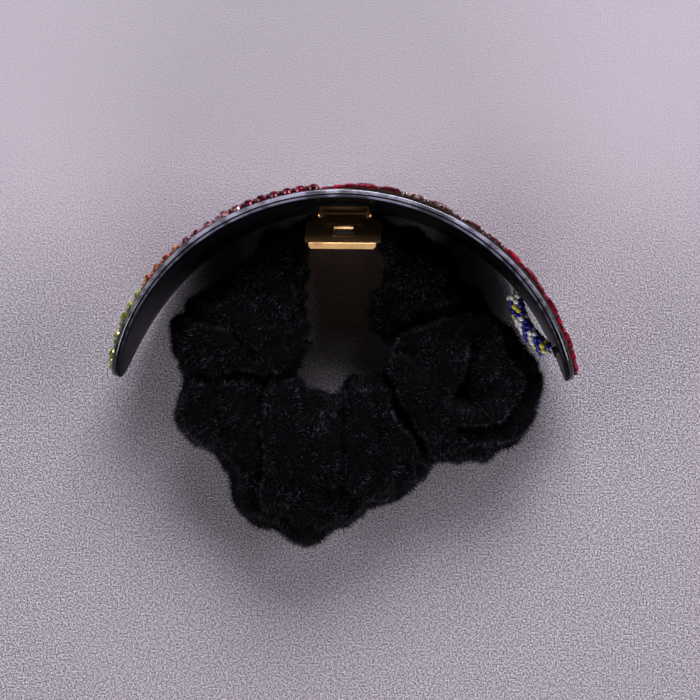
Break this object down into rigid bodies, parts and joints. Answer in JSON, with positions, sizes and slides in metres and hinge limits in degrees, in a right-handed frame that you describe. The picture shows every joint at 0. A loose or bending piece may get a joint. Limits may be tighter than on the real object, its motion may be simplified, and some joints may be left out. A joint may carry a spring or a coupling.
{
  "type": "alligator hair clip",
  "caption": "Arched stone-set cover with a sprung alligator clip glued inside its crown, a plush scrunchie threaded through the clip and a short beaded strand.",
  "frame": {"origin": "on the cover's lower rim at the crown of the arch, in the middle of the outer ply", "axes": "+X across the arch, +Y out of the crown, +Z along the arch's axis towards the finger end of the clip"},
  "size_m": [0.112, 0.0846, 0.042],
  "materials": {
    "cover_black": "polished black sheet with rounded rims",
    "lining_black": "polished, lightly scuffed",
    "glass_lime": "clear faceted glass over a foil back",
    "glass_amber": "clear faceted glass over a foil back",
    "glass_rose": "clear faceted glass over a foil back",
    "glass_garnet": "clear faceted glass over a foil back",
    "glass_ruby": "clear faceted glass over a foil back",
    "glass_blush": "clear faceted glass over a foil back",
    "cup_metal": "dull stamped metal",
    "pad": "dark adhesive foam",
    "gilt": "bright gilt sheet, brushed",
    "pin_metal": "plain gilt wire",
    "spring_metal": "gilt spring strip",
    "elastic": "braided black elastic",
    "crimp": "plain",
    "velvet": "long-pile plush velvet",
    "thread": "nylon thread",
    "anchor": "dark glue",
    "bead_white": "glossy glass seed bead",
    "bead_blue": "glossy glass seed bead",
    "bead_yellow": "glossy glass seed bead"
  },
  "bodies": {
    "cover": {"cover_outer_ply": "cover_black", "cover_inner_ply": "lining_black", "stones_lime": "glass_lime", "stones_amber": "glass_amber", "stones_rose": "glass_rose", "stones_garnet": "glass_garnet", "stones_ruby": "glass_ruby", "stones_blush": "glass_blush", "stone_cups": "cup_metal", "clip_pad": "pad", "fixed_jaw": "gilt", "hinge_pin": "pin_metal", "leaf_spring": "spring_metal", "strand_thread": "thread", "strand_anchors": "anchor", "beads_white": "bead_white", "beads_blue": "bead_blue", "beads_yellow": "bead_yellow"},
    "lever": {"moving_jaw": "gilt"},
    "scrunchie": {"elastic_band": "elastic", "elastic_crimp": "crimp", "velvet_tube": "velvet"}
  },
  "joints": [
    {"name": "jaw_hinge", "type": "hinge", "parent": "cover", "child": "lever", "pos_m": [0.0003, -0.00375, 0.0225], "axis": [-1, 0, 0], "range_deg": [0, 26], "stiffness_Nm_per_rad": 0.12, "springref_deg": -28.65, "deforming": ["leaf_spring"]},
    {"name": "scrunchie_swing", "type": "hinge", "parent": "cover", "child": "scrunchie", "pos_m": [0.0003, -0.00375, 0.0193], "axis": [-1, 0, 0], "range_deg": [-15, 25], "deforming": ["velvet_tube"]}
  ]
}
